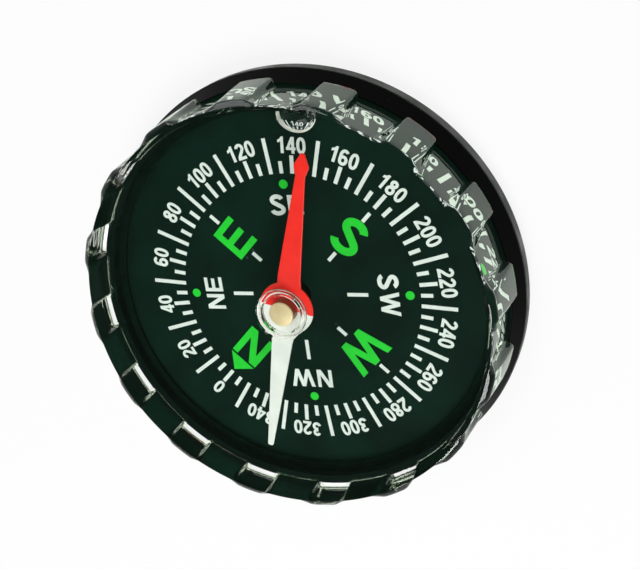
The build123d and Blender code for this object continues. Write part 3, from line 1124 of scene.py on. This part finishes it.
class COMPASS_OT_bearing(Operator):
    """Turn the bearing cap on the needle's hub and finish the pin and the jewel"""
    bl_idname = "compass.bearing"
    bl_label = "Bearing"

    def execute(self, context):
        sizes = context.scene.compass_needle
        shades = context.scene.compass_colours
        hub_top = sizes.hub_bottom + sizes.thickness
        rivet, crown = cap_low.z, cap_high.z
        bore, neck, head = sizes.cap_bore, sizes.cap_neck, sizes.cap_radius
        roof = crown - sizes.cap_roof
        profile = [(bore, rivet), (sizes.rivet_radius, rivet), (sizes.rivet_radius, sizes.hub_bottom),
                   (neck, sizes.hub_bottom), (neck, hub_top), (head - CAP_CHAMFER, hub_top),
                   (head, hub_top + CAP_CHAMFER)]
        profile += rounded((head, crown), (head, 0), (0, crown), sizes.cap_round, 5)
        profile += [(0.0, crown), (0.0, roof), (bore, roof), (bore, rivet)]
        cap = lathe("turned_cap", profile, CAP_STEPS)
        smooth(cap)
        # The cap's side is painted a darker brown than its top: painted shade on one brass piece
        dress(cap, turned_metal("turned_brass", shades.cap_brass, 0.2, 0.4),
              turned_metal("brass_side_painted_shade", shades.cap_bronze, 0.6, 0.35))
        paint(cap, 1, lambda middle, radius, normal: middle.z < crown - 1.2 * sizes.cap_round)
        carry(cap, NEEDLE, "cap_brass", "bearing_cap")
        dress(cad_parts["pivot_pin"], turned_metal("pin_steel", shades.pin_steel, 1.0, 0.25))
        dress(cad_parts["pivot_jewel"], turned_metal("jewel_glass", shades.pin_steel, 0.0, 0.1))
        return {"FINISHED"}


class COMPASS_OT_bubble(Operator):
    """Shape the air bubble that hangs under the cover at the chamber's edge"""
    bl_idname = "compass.bubble"
    bl_label = "Air bubble"

    def execute(self, context):
        sizes = context.scene.compass_bubble
        cover = context.scene.compass_cover
        profile = []
        for k in range(BUBBLE_ROWS + 1):
            angle = pi / 2 - pi * k / BUBBLE_ROWS
            rise = sizes.crown if angle > 0 else sizes.depth
            profile.append((sizes.half_length * max(0.0, cos(angle)) ** BUBBLE_FULLNESS, rise * sin(angle)))
        profile[0], profile[-1] = (0.0, profile[0][1]), (0.0, profile[-1][1])
        bubble = lathe("air_bubble", profile, BUBBLE_STEPS)
        place_mesh(bubble, Matrix.Rotation(-sizes.bearing, 4, "Z")
                   @ Matrix.Translation((0, sizes.distance, cover.chamber_top - sizes.film - sizes.crown))
                   @ Matrix.Diagonal((1.0, sizes.half_width / sizes.half_length, 1.0, 1.0)))
        chamber = round_bar(CHAMBER_SIDES, cover.upper_radius - sizes.film, 4 * cover.top)
        combine(bubble, chamber, "INTERSECT")
        apply_modifier(bubble, "BEVEL", width=BUBBLE_ROUND, segments=3, limit_method="ANGLE",
                       angle_limit=BEVEL_ANGLE)
        smooth(bubble, 60.0)
        dress(bubble, clear_glass("air_in_liquid", AIR_IN_LIQUID, BUBBLE_WAVY),
              clear_glass("bubble_painted_highlight", AIR_IN_LIQUID, BUBBLE_WAVY, RIM_HIGHLIGHT_COVER))
        # Painted highlight: the rim's slopes get a pale matt cover, standing in for the bright ring of light
        # round the bubble
        inside = cover.upper_radius - 5 * sizes.film
        paint(bubble, 1, lambda middle, radius, normal: HIGHLIGHT_SLOPES[0] < normal.z < HIGHLIGHT_SLOPES[1]
              and radius < inside)
        carry(bubble, CASE, "clear_acrylic")
        return {"FINISHED"}


class COMPASS_OT_stage(Operator):
    """Set the pale floor, the soft light and the camera"""
    bl_idname = "compass.stage"
    bl_label = "Stage"

    def execute(self, context):
        stage = context.scene.compass_stage
        scene = context.scene
        deselect()
        bpy.ops.mesh.primitive_plane_add(size=stage.floor_size, location=(0, 0, -FLOOR_GAP))
        floor = named(bpy.context.object, "floor")
        finish = Finish("pale_floor")
        finish.tree.nodes.remove(finish.shader)
        matt = finish.add("ShaderNodeBsdfDiffuse")
        finish.join(finish.mottle(6.0, 3.0, stage.floor_white, 0.99, 1.0), matt.inputs["Color"])
        glow = finish.add("ShaderNodeEmission")
        share = finish.add("ShaderNodeMath", operation="MULTIPLY")
        finish.join(finish.rays("Is Camera Ray", "Is Glossy Ray", "Is Transmission Ray"), share.inputs[0])
        share.inputs[1].default_value = FLOOR_GLOW
        surface = finish.mix(share.outputs[0], matt.outputs["BSDF"], glow.outputs["Emission"])
        finish.join(surface, finish.output.inputs["Surface"])
        dress(floor, finish.material)

        world = bpy.data.worlds.new("studio")
        world.use_nodes = True
        scene.world = world
        nodes, links = world.node_tree.nodes, world.node_tree.links
        coords = nodes.new("ShaderNodeTexCoord")
        split = nodes.new("ShaderNodeSeparateXYZ")
        links.new(coords.outputs["Generated"], split.inputs["Vector"])
        ramp = nodes.new("ShaderNodeValToRGB")
        for element, (position, shade) in zip(ramp.color_ramp.elements, STUDIO_LIGHT):
            element.position = position
            element.color = shade
        links.new(split.outputs["Z"], ramp.inputs["Fac"])
        links.new(ramp.outputs["Color"], nodes["Background"].inputs["Color"])

        for name, watts, side, place in (("key_softbox", stage.key_power, KEY_SIDE, KEY_PLACE),
                                         ("fill_softbox", stage.fill_power, FILL_SIDE, FILL_PLACE)):
            deselect()
            bpy.ops.object.light_add(type="AREA", location=place)
            lamp = bpy.context.object
            lamp.name = lamp.data.name = name
            lamp.data.energy = watts
            lamp.data.size = side
            lamp.rotation_euler = place.to_track_quat("Z", "Y").to_euler()

        camera_data = bpy.data.cameras.new("photo_camera")
        camera_data.lens = stage.lens
        camera_data.sensor_width = FRAME_WIDTH
        camera_data.sensor_fit = "HORIZONTAL"
        camera_data.clip_start = NEAREST
        camera = bpy.data.objects.new("photo_camera", camera_data)
        scene.collection.objects.link(camera)
        back = CAMERA_RIGHT.cross(CAMERA_UP)
        axes = Matrix((CAMERA_RIGHT, CAMERA_UP, back)).transposed().to_4x4()
        camera.matrix_world = Matrix.Translation(CAMERA_PLACE) @ axes
        scene.camera = camera
        scene.view_settings.view_transform = "Standard"
        return {"FINISHED"}


class COMPASS_PT_pieces(Panel):
    """List of the compass's pieces"""
    bl_idname = "COMPASS_PT_pieces"
    bl_label = "Pocket Compass"
    bl_space_type = "VIEW_3D"
    bl_region_type = "UI"
    bl_category = "Compass"

    def draw(self, context):
        for operator in OPERATORS:
            self.layout.operator(operator.bl_idname)


GROUPS = {
    "compass_case": CaseSizes,
    "compass_cover": CoverSizes,
    "compass_needle": NeedleSizes,
    "compass_print": PrintSizes,
    "compass_bubble": BubbleSizes,
    "compass_colours": FinishColours,
    "compass_stage": StageSettings,
}
OPERATORS = (
    COMPASS_OT_case,
    COMPASS_OT_dial,
    COMPASS_OT_numerals,
    COMPASS_OT_letters,
    COMPASS_OT_needle,
    COMPASS_OT_bearing,
    COMPASS_OT_cover,
    COMPASS_OT_bubble,
    COMPASS_OT_stage,
)


def register():
    """Register the settings, the operators and the panel."""
    for owner, group in GROUPS.items():
        bpy.utils.register_class(group)
        setattr(bpy.types.Scene, owner, PointerProperty(type=group))
    for operator in OPERATORS:
        bpy.utils.register_class(operator)
    bpy.utils.register_class(COMPASS_PT_pieces)


def unregister():
    """Take the panel, the operators and the settings out again."""
    bpy.utils.unregister_class(COMPASS_PT_pieces)
    for operator in reversed(OPERATORS):
        bpy.utils.unregister_class(operator)
    for owner, group in reversed(GROUPS.items()):
        delattr(bpy.types.Scene, owner)
        bpy.utils.unregister_class(group)


def main():
    """Make every piece in order."""
    register()
    for operator in OPERATORS:
        group, name = operator.bl_idname.split(".")
        getattr(getattr(bpy.ops, group), name)()


if __name__ == "__main__":
    main()
